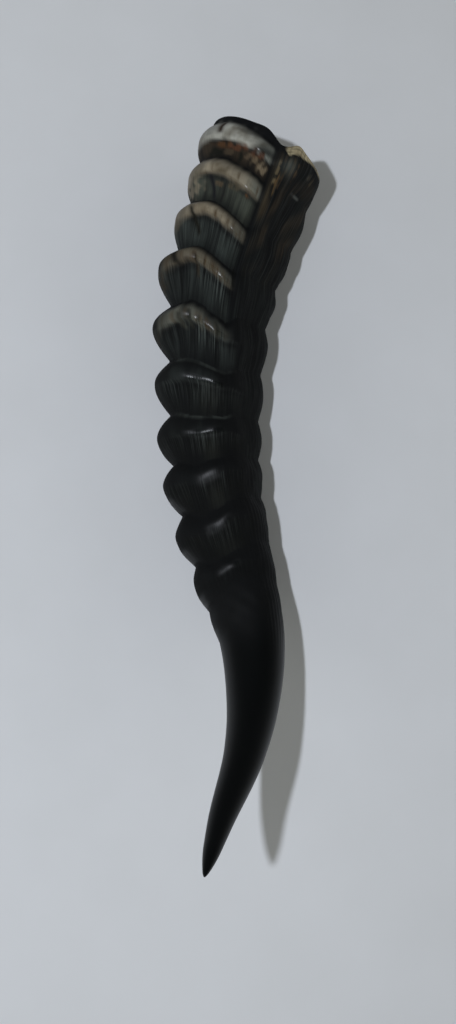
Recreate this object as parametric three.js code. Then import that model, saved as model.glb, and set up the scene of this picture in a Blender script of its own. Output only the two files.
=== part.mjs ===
// A blesbok's left horn: one hollow sheath of keratin with rings round its front and a smooth tip.
// Millimetres, +Z up. The horn lies on its outer side, as it rests on a table: +Y runs from the tip to
// the base, -X is the horn's front, where the rings are strongest, and the tip curves up off the table.
import * as THREE from "three";

// The axis runs through these points, from the middle of the base rim to the tip.
const axisPoints = [
  [13.8, 152, 23.8],
  [7.3, 130.6, 25.4],
  [-5.5, 88, 25.1],
  [-9, 45.3, 22.2],
  [-7.7, 2.5, 21.6],
  [-0.2, -37.6, 17.6],
  [6.6, -68.7, 25.5],
  [6.7, -95.2, 37],
  [2.7, -118.6, 52.5],
  [-6.4, -144.6, 73],
  [-12.7, -165.8, 92],
];

// Mean radius of the sheath in the valleys between the rings, by distance from the base rim.
const girthStops = [
  [0, 24.3],
  [40, 22.15],
  [100, 18.8],
  [150, 17.4],
  [200, 15.3],
  [236, 12.6],
  [277, 8.8],
  [318, 5.15],
  [347, 2.05],
];
const tipRounding = 14;

// The section is an oval, deeper from front to back than from side to side, with three faint corners.
const ovalAtBase = 1.1;
const ovalAtTip = 1;
const ovalTurn = THREE.MathUtils.degToRad(3);
const cornerShare = 0.03;
const firstCorner = THREE.MathUtils.degToRad(15);

// Past the furrow the sheath falls away in a flat flank, and it is fullest low down at the back. Both are
// shares of the radius, round their middle angles.
const flankShare = 0.3;
const flankAngle = 150;
const flankWidth = 35;
const heelShare = 0.11;
const heelAngle = -155;
const heelWidth = 28;
const flankStart = [6, 34]; // they grow in between these stations
const flankEnd = [120, 205]; // and fade between these

// Rings from the base: where each crest crosses the front, and how far it stands out there and on the
// inner side.
const rings = [
  { at: 4.4, height: 3.9, inner: 3.5 },
  { at: 22.7, height: 4.4, inner: 3.6 },
  { at: 43.7, height: 5.3, inner: 3.6 },
  { at: 64.6, height: 7.3, inner: 3.4 },
  { at: 87.5, height: 8, inner: 3.2 },
  { at: 111.1, height: 7.1, inner: 2.8 },
  { at: 134.9, height: 6.25, inner: 2.3 },
  { at: 154.1, height: 6.15, inner: 2.2 },
  { at: 175.2, height: 5.15, inner: 2 },
  { at: 198.4, height: 2.8, inner: 1.4 },
  { at: 216.2, height: 0.7, inner: 0.5 },
];
const ringRise = 0.42; // share of the pitch from a valley up to the crest, on the base side
const ringBackLean = 5; // a ring lies this much nearer the tip at the back than at the front
const ringOuterLean = 2; // and this much nearer the base on the outer side
const ringInnerLean = 5.7; // on the inner side it sweeps this much further towards the tip
const ringInnerAngles = [45, 105]; // between these angles
const ringLeanTurn = [85, 180]; // between these stations the lean turns round
const ringLeanLast = -0.65; // to this share of itself
const ringStrengthBack = 0.24;
const ringStrengthOuter = 0.7;
const ringFullAngles = [-80, -20]; // rings grow from their outer strength to full between these angles
const ringBackAngles = [-168, -132]; // and fade to their back strength between these, past the outer side
const ringFurrowReach = [-20, 6]; // and between these, counted from the furrow
const ringSettleAngles = [20, 65]; // they settle to their inner height between these

// A furrow along the inner side parts the ringed front from the smoother back.
const furrowAngle = 103;
const furrowWidth = 9;
const furrowDepth = 1.8;
const furrowStart = [2, 12]; // it grows in between these stations
const furrowEnd = [70, 150]; // and fades between these

// The base is sawn off on a plane that leans over the table and runs back along the horn towards its
// back, with a notch where the furrow meets it.
const cutLean = THREE.MathUtils.degToRad(5);
const cutSkew = THREE.MathUtils.degToRad(13);
const notchDepth = 4;
const notchAngle = 109;
const notchWidth = 14;
const rimWall = 4.5;
const rimRounding = 1.2;
const straightBase = 12; // the axis is straight over this much of its length from the base
const cutReach = 40; // the stations near the base bend to the cut over this length

// The hollow that held the bone core: a cone with a rounded end.
const hollowDepth = 140;
const hollowEndShare = 0.6; // its radius at the end, as a share of its radius at the rim
const hollowEndRounding = 9;

// Facets.
const columns = 40;
const rowsPerRing = 8;
const tipRows = 18;
const hollowRows = 9;
const hollowEndRows = 4;

const axis = new THREE.CatmullRomCurve3(axisPoints.map((p) => new THREE.Vector3(...p)));
axis.arcLengthDivisions = 2000;
const axisLength = axis.getLength();
const degrees = THREE.MathUtils.radToDeg;
const { clamp, lerp, smoothstep } = THREE.MathUtils;
const bell = (x, middle, width) => Math.exp(-(((x - middle) / width) ** 2));
const apart = (a, b) => THREE.MathUtils.euclideanModulo(a - b + 180, 360) - 180; // degrees, the short way round

// A smooth curve through [station, value] stops that doesn't overshoot them.
function throughStops(stops, at) {
  const slopes = stops.slice(1).map(([x, y], i) => (y - stops[i][1]) / (x - stops[i][0]));
  const tangents = stops.map((_, i) => {
    const before = slopes[Math.max(i - 1, 0)];
    const after = slopes[Math.min(i, slopes.length - 1)];
    return before * after <= 0 ? 0 : (2 * before * after) / (before + after);
  });
  let i = stops.findIndex(([x]) => x >= at) - 1;
  if (i === -2) i = stops.length - 2;
  i = Math.max(i, 0);
  const span = stops[i + 1][0] - stops[i][0];
  const t = clamp((at - stops[i][0]) / span, 0, 1);
  return (
    (2 * t ** 3 - 3 * t ** 2 + 1) * stops[i][1] +
    (t ** 3 - 2 * t ** 2 + t) * span * tangents[i] +
    (3 * t ** 2 - 2 * t ** 3) * stops[i + 1][1] +
    (t ** 3 - t ** 2) * span * tangents[i + 1]
  );
}

// The valley on the base side of each ring, and the one past the last ring.
const valleys = rings.map((ring, i) => {
  const pitch = rings[Math.max(i, 1)].at - rings[Math.max(i, 1) - 1].at;
  return ring.at - ringRise * pitch;
});
const lastRing = rings[rings.length - 1];
valleys.push(lastRing.at + (1 - ringRise) * (lastRing.at - rings[rings.length - 2].at));

// How far a ring's crest stands out at an angle: all of its height at the front, less on the outer and
// inner sides, and little at the back.
function ringHeight({ height, inner }, turn) {
  const beforeFurrow = 1 - smoothstep(turn - furrowAngle, ...ringFurrowReach);
  const beforeBack = smoothstep(turn, ...ringBackAngles);
  const outer = height * lerp(ringStrengthOuter, 1, smoothstep(turn, ...ringFullAngles));
  const side = lerp(outer, inner, smoothstep(turn, ...ringSettleAngles));
  return lerp(height * ringStrengthBack, side, beforeFurrow * beforeBack);
}

// How far the rings stand out at a station: none in a valley, all of the ring's height on its crest.
function ringRelief(station, turn) {
  if (station <= valleys[0] || station >= valleys[rings.length]) return 0;
  const i = valleys.findIndex((valley) => valley > station) - 1;
  const { at } = rings[i];
  const share =
    station < at
      ? (station - valleys[i]) / (at - valleys[i])
      : (valleys[i + 1] - station) / (valleys[i + 1] - at);
  return ringHeight(rings[i], turn) * Math.sin((Math.PI / 2) * share);
}

// How much nearer the tip a ring lies at an angle than at the front.
function ringLean(station, angle) {
  const turn = degrees(angle);
  const back = (ringBackLean * (1 - Math.cos(angle))) / 2;
  const outer = ringOuterLean * Math.min(Math.sin(angle), 0);
  const sweep = smoothstep(turn, ...ringInnerAngles) * (1 - smoothstep(turn, ringInnerAngles[1], 180));
  const share = lerp(1, ringLeanLast, smoothstep(station, ...ringLeanTurn));
  return (back + outer + ringInnerLean * sweep) * share;
}

// Share of the radius that the flank and the heel leave at a station.
function flankLeft(station, turn) {
  const fade = smoothstep(station, ...flankStart) * (1 - smoothstep(station, ...flankEnd));
  const flat = flankShare * bell(apart(turn, flankAngle), 0, flankWidth);
  const heel = heelShare * bell(apart(turn, heelAngle), 0, heelWidth);
  return 1 + (heel - flat) * fade;
}

// Radius of the sheath without its rings and furrow. The angle runs from the front over the inner side.
function bareRadius(station, angle) {
  const oval = lerp(ovalAtBase, ovalAtTip, clamp(station / axisLength, 0, 1));
  const turned = angle - ovalTurn;
  const section = 1 / Math.hypot(Math.cos(turned) / oval, Math.sin(turned) * oval);
  const left = clamp((axisLength - station) / tipRounding, 0, 1);
  const closing = Math.sqrt(1 - (1 - left) ** 2);
  const corners = 1 + cornerShare * Math.cos(3 * (angle - firstCorner));
  return throughStops(girthStops, station) * closing * section * corners * flankLeft(station, degrees(angle));
}

// Radius of the sheath with its rings and furrow.
function outerRadius(station, angle) {
  const turn = degrees(angle);
  const ring = ringRelief(station - ringLean(station, angle), turn);
  const furrowFade = smoothstep(station, ...furrowStart) * (1 - smoothstep(station, ...furrowEnd));
  const furrow = furrowDepth * bell(turn, furrowAngle, furrowWidth) * furrowFade;
  return bareRadius(station, angle) + ring - furrow;
}

// A point on the section at a station: the frame's sideways axis stays level, so it doesn't twist.
// The axis is straight over the first stretch, so the sawn rim lies in one plane.
function onSection(station, angle, radius) {
  const from = clamp(station, straightBase, axisLength);
  const along = axis.getTangentAt(from / axisLength);
  const front = new THREE.Vector3().crossVectors(along, new THREE.Vector3(0, 0, 1)).normalize();
  const inner = new THREE.Vector3().crossVectors(front, along);
  return axis
    .getPointAt(from / axisLength)
    .addScaledVector(along, Math.min(station - from, 0))
    .addScaledVector(front, radius * Math.cos(angle))
    .addScaledVector(inner, radius * Math.sin(angle));
}

// Where the cut crosses a line along the sheath, as a station: the sawn plane, and the notch in it.
function cutStation(angle, radius) {
  const notch = notchDepth * bell(degrees(angle), notchAngle, notchWidth);
  const plane = Math.tan(cutLean) * Math.sin(angle) + Math.tan(cutSkew) * Math.cos(angle);
  return notch - plane * radius;
}

// A station counted from the cut, which settles to the plain station past the cut's reach.
function fromCut(station, angle) {
  const reach = (1 - clamp(station / cutReach, 0, 1)) ** 2;
  return station + cutStation(angle, bareRadius(0, angle)) * reach;
}

// The same on the outside, where the rows follow the lean of the rings between the cut and the last ring.
function alongRings(station, angle) {
  const follow = smoothstep(station, 0, cutReach) * (1 - smoothstep(station, lastRing.at, axisLength));
  return fromCut(station, angle) + ringLean(station, angle) * follow;
}

const angles = Array.from({ length: columns }, (_, i) => -Math.PI + (2 * Math.PI * i) / columns);

// One row of points on the outside, a given distance from the cut. Crests that reach the table are worn
// flat on it.
function outsideRow(station) {
  return angles.map((angle) => {
    const there = alongRings(station, angle);
    const point = onSection(there, angle, outerRadius(there, angle));
    return point.setZ(Math.max(point.z, 0));
  });
}

// Radius of the sawn rim, a given depth in from the outside.
function rimRadius(angle, depth) {
  return outerRadius(fromCut(0, angle), angle) - depth;
}

// One row of points on the sawn rim.
function rimRow(depth) {
  return angles.map((angle) => {
    const radius = rimRadius(angle, depth);
    return onSection(cutStation(angle, radius), angle, radius);
  });
}

// One row of points on the wall of the hollow.
function hollowRow(station) {
  const cone = lerp(1, hollowEndShare, station / hollowDepth);
  const left = clamp((hollowDepth - station) / hollowEndRounding, 0, 1);
  const closing = Math.sqrt(1 - (1 - left) ** 2);
  return angles.map((angle) => {
    const there = fromCut(station, angle);
    const radius = rimRadius(angle, rimWall) * cone * closing * flankLeft(there, degrees(angle));
    return onSection(there, angle, radius);
  });
}

// Stations from the end of the hollow back to the rim: close steps round the end, then even ones.
function hollowStations() {
  const list = [];
  for (let k = 1; k <= hollowEndRows; k++) {
    const turn = ((Math.PI / 2) * k) / hollowEndRows;
    list.push(hollowDepth - hollowEndRounding * (1 - Math.cos(turn)));
  }
  const coneLength = hollowDepth - hollowEndRounding;
  for (let k = 1; k < hollowRows; k++) list.push(coneLength * (1 - k / hollowRows));
  return list;
}

// Stations from the rim to the tip: even steps on each ring, then steps that shorten towards the tip.
function outsideStations() {
  const list = [rimRounding];
  for (let i = 0; i < rings.length; i++) {
    for (let k = 0; k < rowsPerRing; k++) {
      const station = lerp(valleys[i], valleys[i + 1], k / rowsPerRing);
      if (station > list[list.length - 1] + rimRounding) list.push(station);
    }
  }
  const smoothFrom = valleys[rings.length];
  for (let k = 0; k < tipRows; k++) {
    list.push(lerp(smoothFrom, axisLength, Math.sin((Math.PI / 2) * (k / tipRows))));
  }
  return list;
}

// A closed skin from a first point, over rows of points, to a last point.
function skin(firstPoint, rows, lastPoint) {
  const points = [firstPoint, ...rows.flat(), lastPoint];
  const triangles = [];
  const corner = (row, column) => 1 + row * columns + (column % columns);
  for (let c = 0; c < columns; c++) {
    triangles.push(0, corner(0, c), corner(0, c + 1));
    for (let r = 0; r < rows.length - 1; r++) {
      const [a, b] = [corner(r, c), corner(r, c + 1)];
      const [d, e] = [corner(r + 1, c), corner(r + 1, c + 1)];
      triangles.push(a, d, b, b, d, e);
    }
    triangles.push(points.length - 1, corner(rows.length - 1, c + 1), corner(rows.length - 1, c));
  }
  const geometry = new THREE.BufferGeometry().setFromPoints(points);
  geometry.setIndex(triangles);
  geometry.computeVertexNormals();
  return geometry;
}

const hollowEnd = onSection(hollowDepth, 0, 0);
const hollow = hollowStations().map(hollowRow);
const rim = [rimRow(rimWall), rimRow(rimRounding)];
const outside = outsideStations().map(outsideRow);
const tip = axis.getPointAt(1);

const keratin = new THREE.MeshStandardMaterial({ color: "#1b1c1d", roughness: 0.35, metalness: 0 });
const horn = new THREE.Mesh(skin(hollowEnd, [...hollow, ...rim, ...outside], tip), keratin);
horn.name = "horn";

const part = new THREE.Group();
part.add(horn);
export default part;
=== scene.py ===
import math
import bpy
import numpy as np
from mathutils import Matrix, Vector


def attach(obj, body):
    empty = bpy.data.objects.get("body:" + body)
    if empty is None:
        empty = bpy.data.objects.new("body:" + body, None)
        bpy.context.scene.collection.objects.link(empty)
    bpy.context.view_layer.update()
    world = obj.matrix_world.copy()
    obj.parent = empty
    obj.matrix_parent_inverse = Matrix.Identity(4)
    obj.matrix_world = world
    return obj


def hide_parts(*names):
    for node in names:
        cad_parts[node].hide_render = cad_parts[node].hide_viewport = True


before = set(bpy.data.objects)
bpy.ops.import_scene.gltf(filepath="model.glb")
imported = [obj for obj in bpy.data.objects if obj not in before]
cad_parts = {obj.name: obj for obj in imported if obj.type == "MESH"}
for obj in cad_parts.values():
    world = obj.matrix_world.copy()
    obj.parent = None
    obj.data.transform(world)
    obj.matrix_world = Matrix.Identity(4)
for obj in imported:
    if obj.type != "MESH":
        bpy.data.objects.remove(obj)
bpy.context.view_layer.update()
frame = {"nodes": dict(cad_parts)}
print("frame loaded with", ", ".join(frame["nodes"]))

# The sheath of a blesbok's left horn, in millimetres and degrees. A place on it is a station, the distance
# from the base along the axis, and an angle: 0 is the front, 90 the inner side, which lies uppermost.
horn = {
    "axis": [
        (13.8, 152, 23.8), (7.3, 130.6, 25.4), (-5.5, 88, 25.1), (-9, 45.3, 22.2), (-7.7, 2.5, 21.6),
        (-0.2, -37.6, 17.6), (6.6, -68.7, 25.5), (6.7, -95.2, 37), (2.7, -118.6, 52.5), (-6.4, -144.6, 73),
        (-12.7, -165.8, 92),
    ],
    "girth": [
        (0, 24.3), (40, 22.15), (100, 18.8), (150, 17.4), (200, 15.3), (236, 12.6), (277, 8.8), (318, 5.15),
        (347, 2.05),
    ],
    "tipRounding": 14,
    "ovalBase": 1.1,
    "ovalTip": 1.0,
    "ovalTurn": 3,
    "cornerShare": 0.03,
    "cornerAngle": 15,
    "flankShare": 0.3,  # past the furrow the sheath falls away by this share of its radius
    "flankAngle": 150,
    "flankWidth": 35,
    "heelShare": 0.11,  # and low at the back it is fuller by this share
    "heelAngle": -155,
    "heelWidth": 28,
    "flankStations": (6, 34, 120, 205),
    "ringRise": 0.42,  # share of the pitch from a valley up to the crest
    "innerRiseAngles": (20, 60, 100, 125),  # where each ring has its own share instead
    "shiftLead": 3,  # degrees nearer the front that this starts, for each mm that a ring is shifted
    "leadEnd": 70,  # the lead counts up to this angle
    "settleAngles": (20, 65),  # rings settle to their inner height between these
    "backLean": 5,  # a ring lies this much nearer the tip at the back
    "outerLean": 2,  # this much nearer the base on the outer side
    "innerLean": 5.7,  # and sweeps this much further towards the tip on the inner side
    "innerAngles": (45, 105),
    "leanTurn": (85, 180),  # between these stations the lean turns round
    "leanLast": -0.65,  # to this share of itself
    "shiftAngles": (10, 54, 106, 150),  # where a ring's own shift towards the base holds
    "wander": 0.45,  # mm that a ring wanders round the horn
    "heightWander": 0.05,  # share of a ring's height that comes and goes
    "backStrength": 0.24,
    "outerStrength": 0.7,
    "backAngles": (-168, -132),  # rings rise from the back to the outer side between these
    "outerAngles": (-80, -20),  # and on to the front between these
    "furrowSides": (-20, 6),  # and end this far before and past the furrow
    "laterRings": (3.2, 4.8),  # from about this ring, counted from 0, they run on past it
    "laterReach": (30, 42),
    "sharpRings": (5.5, 8),  # the last rings are sharper on the inner side
    "sharpAngles": (25, 60, 130, 165),
    "sharpness": 0.8,
    "furrowAngle": 103,
    "furrowWidth": 9,
    "furrowDepth": 1.1,
    "furrowStations": (2, 12, 70, 150),
    "creaseAngle": 105,  # the sharp line at the bottom of the furrow
    "creaseWidth": 3.2,
    "creaseDepth": 0.6,
    "creaseStations": (6, 14, 60, 105),
    "cutLean": 5,
    "cutSkew": 13,
    "cutReach": 40,
    "notchDepth": 4,
    "notchAngle": 109,
    "notchWidth": 14,
    "flakeRise": 1.3,  # a flake of the rim stands up beside the notch
    "flakeAngle": 128,
    "flakeWidth": 7,
    "straightBase": 12,
    "rimWall": 4.5,
    "rimRounding": 1.2,
    "hollowDepth": 140,
    "hollowEndShare": 0.6,
    "hollowEndRounding": 9,
    "hollowGrooves": 0.012,  # share of the hollow's radius
    "facetTilt": 0.29,  # mm that the narrow worn facet before a lip falls
    "lipFall": 0.13,  # the share of a ring's far slope over which its lip drops
    "lipShare": 0.42,  # how much of the ring's height drops there
    "dipAt": 0.68,  # where the far slope is lowest
    "dipLow": 0.12,  # and how much of the slope's height is left there
    "lipAngles": (22, 48, 100, 112),
    "lipRise": 0.85,  # power of the sine up to a lipped crest
    "fluteCount": 48,
    "fluteDepth": 0.03,
    "fluteWander": 1.5,
    "fluteStart": (0.12, 0.3),  # shares of a ring's fall where flutes start and weaken
    "fluteEnd": (0.7, 1),
    "fluteEndShare": 0.6,
    "fluteSlopes": (100, 112),  # angles where they end on the slopes
    "fluteInner": (104, 125),  # and start on the back, from both sides
    "fluteOuter": (-150, -120),
    "fluteBackShare": 0.6,
    "fluteWeaker": (100, 220),  # stations where they weaken, to what share, and end
    "fluteLeast": 0.15,
    "fluteLast": (225, 240),
    "foldDepth": 0.09,  # deeper folds low on the back, where the rings end
    "foldAngles": (114, 128, 166, 179),
    "foldStations": (140, 170, 212, 242),
    "unevenDepth": 0.12,
    "unevenEnd": (200, 240),
    "crackDepth": 0.3,
    "crackWander": 1.2,  # degrees that a crack strays from its line
    "crackEnds": (-0.08, 0.12, 0.8, 1.1),  # shares of its length where it starts and ends
    "columns": 240,
    "ringRows": 290,
    "tipRows": 62,
    "hollowRows": 14,
    "hollowEndRows": 6,
    "rimRows": 4,
    "edgeRows": 4,
    "growthRadius": 25,  # the fibres are drawn on a plain cylinder of this radius
}


# Gives the values in each row of a table their names.
def named(keys, rows):
    return [dict(zip(keys, row)) for row in rows]


# The rings from the base: where the crest crosses the front, how far it stands out there and on the inner
# side, how much nearer the base it lies on the inner side and the share of the pitch that rises to it there,
# how sharp its lip is and how far down the slope it sits, the colour of the pale roll, where that starts on
# the way up, how much of it shows on the inner side and at the front, the colour of the far slope and how
# strongly its fibres carry painted glints.
ringKeys = ["at", "height", "innerHeight", "innerShift", "innerRise", "lip", "lipAt", "roll", "rollFrom",
            "paleInner", "paleFront", "slope", "lit"]
rings = named(ringKeys, (
    (4.4, 3.9, 3.5, 0.0, 0.42, 0.8, 0.17, "#aaaaa1", 0.0, 1.0, 0.8, "#332b21", 0.0),
    (22.7, 4.4, 3.6, 3.2, 0.34, 0.8, 0.14, "#99907d", 0.05, 1.0, 1.0, "#43473f", 0.1),
    (43.7, 5.3, 3.6, 5.2, 0.2, 0.9, 0.12, "#938976", 0.08, 1.0, 0.6, "#373d3a", 0.35),
    (64.6, 7.3, 3.4, 5.6, 0.2, 1.0, 0.106, "#776f5e", 0.1, 0.85, 0.03, "#2a2f2d", 0.9),
    (87.5, 8.0, 3.2, 5.2, 0.23, 1.0, 0.1, "#737469", 0.1, 0.72, 0.0, "#202423", 0.9),
    (111.1, 7.1, 2.8, 2.0, 0.28, 0.9, 0.1, "#2d3230", 0.1, 0.5, 0.05, "#141716", 0.9),
    (134.9, 6.25, 2.3, 0.0, 0.28, 0.6, 0.1, "#232826", 0.1, 0.4, 0.04, "#0b0d0c", 0.6),
    (154.1, 6.15, 2.2, 0.0, 0.28, 0.25, 0.1, "#171a1a", 0.1, 0.3, 0.05, "#0a0c0b", 0.4),
    (175.2, 5.15, 2.0, 0.0, 0.28, 0.15, 0.1, "#131616", 0.1, 0.2, 0.05, "#090b0a", 0.25),
    (198.4, 2.8, 1.4, 0.0, 0.28, 0.1, 0.1, "#101313", 0.1, 0.2, 0.0, "#080a0a", 0.1),
    (216.2, 0.7, 0.2, 0.0, 0.42, 0.0, 0.1, "#0c0e0e", 0.3, 0.0, 0.0, "#080a0a", 0.0),
))

# Fine cracks across the rings: station and angle where each starts and ends, and its width in degrees.
cracks = named(["start", "end", "width", "colour"], (
    ((-1.5, 40), (5.5, 39), 3.2, "#2c1c12"),
    ((24, 42), (36, 50), 2.6, "#15161a"),
    ((27, 60), (37, 58), 2.0, "#1b1c1a"),
    ((40, 34), (52, 46), 2.6, "#17160f"),
    ((60, 33), (65, 36), 4.0, "#14120c"),
    ((60, 54), (69, 57), 2.0, "#2a2318"),
    ((62, 102), (72, 104), 2.2, "#10110d"),
    ((83, 44), (90, 46), 3.0, "#34342d"),
    ((82, 54), (90, 55), 3.4, "#2b2c26"),
    ((84, 66), (91, 67), 2.6, "#383830"),
    ((86, 88), (95, 90), 3.0, "#2a2b25"),
))

# Stains and bleached patches: station and angle of the middle, half length and half width in degrees.
spotKeys = ["at", "size", "colour", "strength"]
stains = named(spotKeys, (
    ((10.0, 46), (1.3, 10), "#4f3620", 0.85),
    ((10.8, 62), (1.5, 12), "#563827", 0.9),
    ((12.6, 84), (1.7, 11), "#523422", 0.95),
    ((13.0, 52), (1.4, 7), "#4a3f31", 0.7),
    ((13.8, 76), (1.7, 6), "#5c4f3f", 0.75),
    ((17.4, 95), (2.4, 6), "#857863", 0.9),
    ((15.8, 85), (2.2, 6), "#6d5f4b", 0.75),
    ((13.2, 36), (1.9, 9), "#14150f", 0.9),
    ((14.6, 67), (2.2, 3), "#161711", 0.9),
    ((28.2, 52), (1.4, 5), "#594c3b", 0.7),
    ((28.6, 72), (1.4, 8), "#504838", 0.6),
    ((31.0, 90), (1.0, 3), "#5a3a1c", 0.8),
    ((9.0, 113), (4.0, 1.6), "#463826", 0.85),
    ((10.0, 118), (4.0, 1.4), "#3c3124", 0.85),
    ((11.0, 123), (4.2, 1.4), "#463a29", 0.8),
    ((12.0, 128), (4.0, 1.5), "#3e3120", 0.8),
    ((13.0, 134), (4.0, 1.5), "#4a3a26", 0.7),
    ((17.0, 113), (5.0, 1.6), "#6b5e46", 0.85),
    ((21.5, 117), (4.5, 1.5), "#5d4a30", 0.75),
    ((19.0, 121), (4.0, 1.3), "#3a2d1d", 0.7),
    ((10.5, 152), (3.0, 2.0), "#4a4438", 0.7),
    ((11.5, 158), (3.0, 1.6), "#4a3f2c", 0.7),
    ((20.5, 153), (0.45, 8.0), "#5c5f5c", 0.6),
    ((29.5, 20), (4.5, 15), "#857b68", 0.6),
    ((48, 14), (3.0, 8), "#3f382b", 0.5),
    ((71, 16), (4.0, 9), "#33291c", 0.5),
    ((94, 14), (4.0, 8), "#2b241a", 0.45),
))

# Soft patches: a brown stain beside the furrow, and painted sheen: a grey patch beside it and olive ones
# on the later slopes.
stainAndSheenPatches = named(spotKeys, (
    ((12.5, 121), (3.8, 9), "#565d59", 0.8),
    ((27, 112), (9.0, 4), "#3f3728", 0.8),
    ((121, 82), (6.0, 12), "#34362f", 0.6),
    ((144, 80), (6.0, 15), "#2d2f29", 0.3),
    ((163, 84), (6.0, 18), "#2a2c27", 0.35),
    ((185, 86), (6.0, 17), "#22241f", 0.4),
))

sheathColours = {
    "black": "#0a0c0d",
    "rimEdge": "#0c0e10",
    "rollStreak": "#43331f",
    "startGlint": "#5d645f",
    "rimFlake": "#b9ad8e",
    "rimFlakeLines": "#4d4636",
    "rollEnd": "#5f6661",
    "backFibre": "#0c0f0f",
    "backBrown": "#282118",
    "sawnFace": "#3d382f",
}

# How the colours lie: the shares they cover, and the angles, stations, ring numbers or shares of a ring's
# rise and fall between which they ease.
marking = {
    # streaks along the horn: seed, pitch and turns of two sets of ripples, share of the second, and easing
    "bands": ((27, 70, 26), (29, 25, 60), 0.6, (-0.9, 0.9)),
    "broad": ((31, 40, 16), (33, 16, 44), 0.4, (-0.8, 0.7)),
    "thin": ((23, 30, 70), (25, 14, 24), 0.5, (0.05, 0.9)),
    "ringedAngles": (-150, -110, 102, 108),  # where the colours of the rings reach
    "backFade": (60, 200),
    "backFadeShare": 0.8,
    "brownFade": (25, 75),
    "slopeStart": (0.05, 0.2),
    "valleyShadeFall": (0.7, 0.98),
    "valleyShadeShare": 0.55,
    "plainSlope": 0.35,  # share of a slope's colour between its bands
    "innerAngles": (14, 42),  # from a ring's front to its inner side
    "dimAngles": (66, 98),  # towards the furrow the third and later rolls are dimmer
    "dimShare": 0.6,
    "shortAngles": (86, 118),  # and the fifth and later ones end before it
    "lateAngles": (82, 104),  # there a roll starts later on its way up
    "lateShare": 0.25,
    "rollEase": (0.5, 0.9),  # share of the rise where a roll fades in, at the front and on the inner side
    "rollLast": (0.4, 0.14),  # and share of the fall where it fades out
    "frontLip": 0.2,  # share of the fall where a roll ends at the front
    "pastLip": 0.02,  # and how far past the lip on the inner side
    "raggedRise": 0.12,
    "raggedFall": 0.05,
    "evenRings": (2.6, 4.4),  # later rolls are less even
    "evenFirst": 0.35,
    "cloudyLeast": 0.7,
    "broadLeast": 0.3,
    "endAngles": (74, 98),  # a roll's end is greyer
    "endShare": 0.7,
    "startAt": 0.1,  # a thin painted highlight at the foot of the sixth and seventh rings
    "startAngles": (18, 50, 90, 130),
    "startRings": (4.4, 4.6, 6.4, 6.6),
    "startShares": (0.12, 0.32),
    "streakRise": (0.45, 1),
    "streakRings": (0.4, 0.6, 4.4, 4.6),
    "streakShare": 0.8,
    "lipLineWidth": 0.05,
    "lipLineRings": (0.4, 0.6, 3.4, 3.6),
    "lipLineShares": (0.25, 0.75),
    "shadeFall": (0.02, 0.08, 0.12, 0.26),  # the shade under a lip, as shares of the fall past it
    "shadeShare": 0.8,
    "stainEdge": (0.12, 0.55),
    "patchLeast": 0.3,  # share of a patch between the bands
    "furrowWidth": 2.6,
    "furrowFade": (50, 100),
    "furrowShare": 0.9,
    "edgeReach": (4.4, 8.4),  # mm of black along the rim, at the front and on the inner side
    "edgeAngles": (20, 55),
    "edgeEase": (0.25, 1.2),
    "edgeRagged": 0.35,
    "flakeReach": (1.5, 6.4),  # mm
    "flakeMiddle": (112, 121, 126, 152),
    "flakeAngles": (113, 118, 160, 174),
    "flakeEase": (-0.6, 0.3),
    "flakeLines": (4.2, 1.3),  # degrees and mm between the fine lines on the flake
    "flakeLineWidths": (0.14, 0.16),  # shares of these
    "flakeLineShare": 0.7,
    "sawnShare": 0.75,
}


# One sRGB hex value as linear red, green and blue.
def linear(hexColour):
    parts = np.array([int(hexColour[i:i + 2], 16) for i in (1, 3, 5)]) / 255
    return np.where(parts <= 0.04045, parts / 12.92, ((parts + 0.055) / 1.055) ** 2.4)


# Eases from 0 at low to 1 at high.
def smooth(x, low, high):
    t = np.clip((x - low) / (high - low), 0, 1)
    return t * t * (3 - 2 * t)


# A share of 1 between the middle two values, easing to 0 at the outer two.
def between(x, a, b, c, d):
    return smooth(x, a, b) * (1 - smooth(x, c, d))


# A bump of height 1 at the middle, down to about a third one width away.
def bell(x, middle, width):
    return np.exp(-((x - middle) / width) ** 2)


# A straight mix of two values.
def mix(a, b, share):
    return a + (b - a) * share


# Degrees between two angles, the short way round.
def degreesFrom(angle, middle):
    return (angle - middle + 180) % 360 - 180


# Sum of eight sine waves of random direction and phase, about -1 to 1. None is shorter than the pitch along
# the horn, and each has a whole number of waves round it, so the seam closes.
def ripples(seed, station, angle, pitch, turns):
    rng = np.random.default_rng(seed)
    total = np.zeros_like(station)
    for _ in range(8):
        around = rng.integers(0, turns + 1)
        along = rng.uniform(-1, 1) * 2 * math.pi / pitch
        total += np.sin(around * np.radians(angle) + along * station + rng.uniform(0, 2 * math.pi))
    return total / 2.8


# Centripetal Catmull-Rom curve: on each span a cubic whose end slopes come from the four nearest points, with
# knots spaced by the square root of their distances.
def curveThrough(points, perSpan):
    p = np.array(points, float)
    p = np.vstack([2 * p[0] - p[1], p, 2 * p[-1] - p[-2]])
    knots = np.sqrt(np.linalg.norm(np.diff(p, axis=0), axis=1))
    t = np.linspace(0, 1, perSpan, endpoint=False)[:, None]
    spans = []
    for i in range(len(points) - 1):
        a, b, c, d = p[i:i + 4]
        k0, k1, k2 = knots[i:i + 3]
        slopeIn = ((b - a) / k0 - (c - a) / (k0 + k1) + (c - b) / k1) * k1
        slopeOut = ((c - b) / k1 - (d - b) / (k1 + k2) + (d - c) / k2) * k1
        spans.append((2 * t**3 - 3 * t**2 + 1) * b + (t**3 - 2 * t**2 + t) * slopeIn
                     + (3 * t**2 - 2 * t**3) * c + (t**3 - t**2) * slopeOut)
    return np.vstack(spans + [p[-2:-1]])


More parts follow.
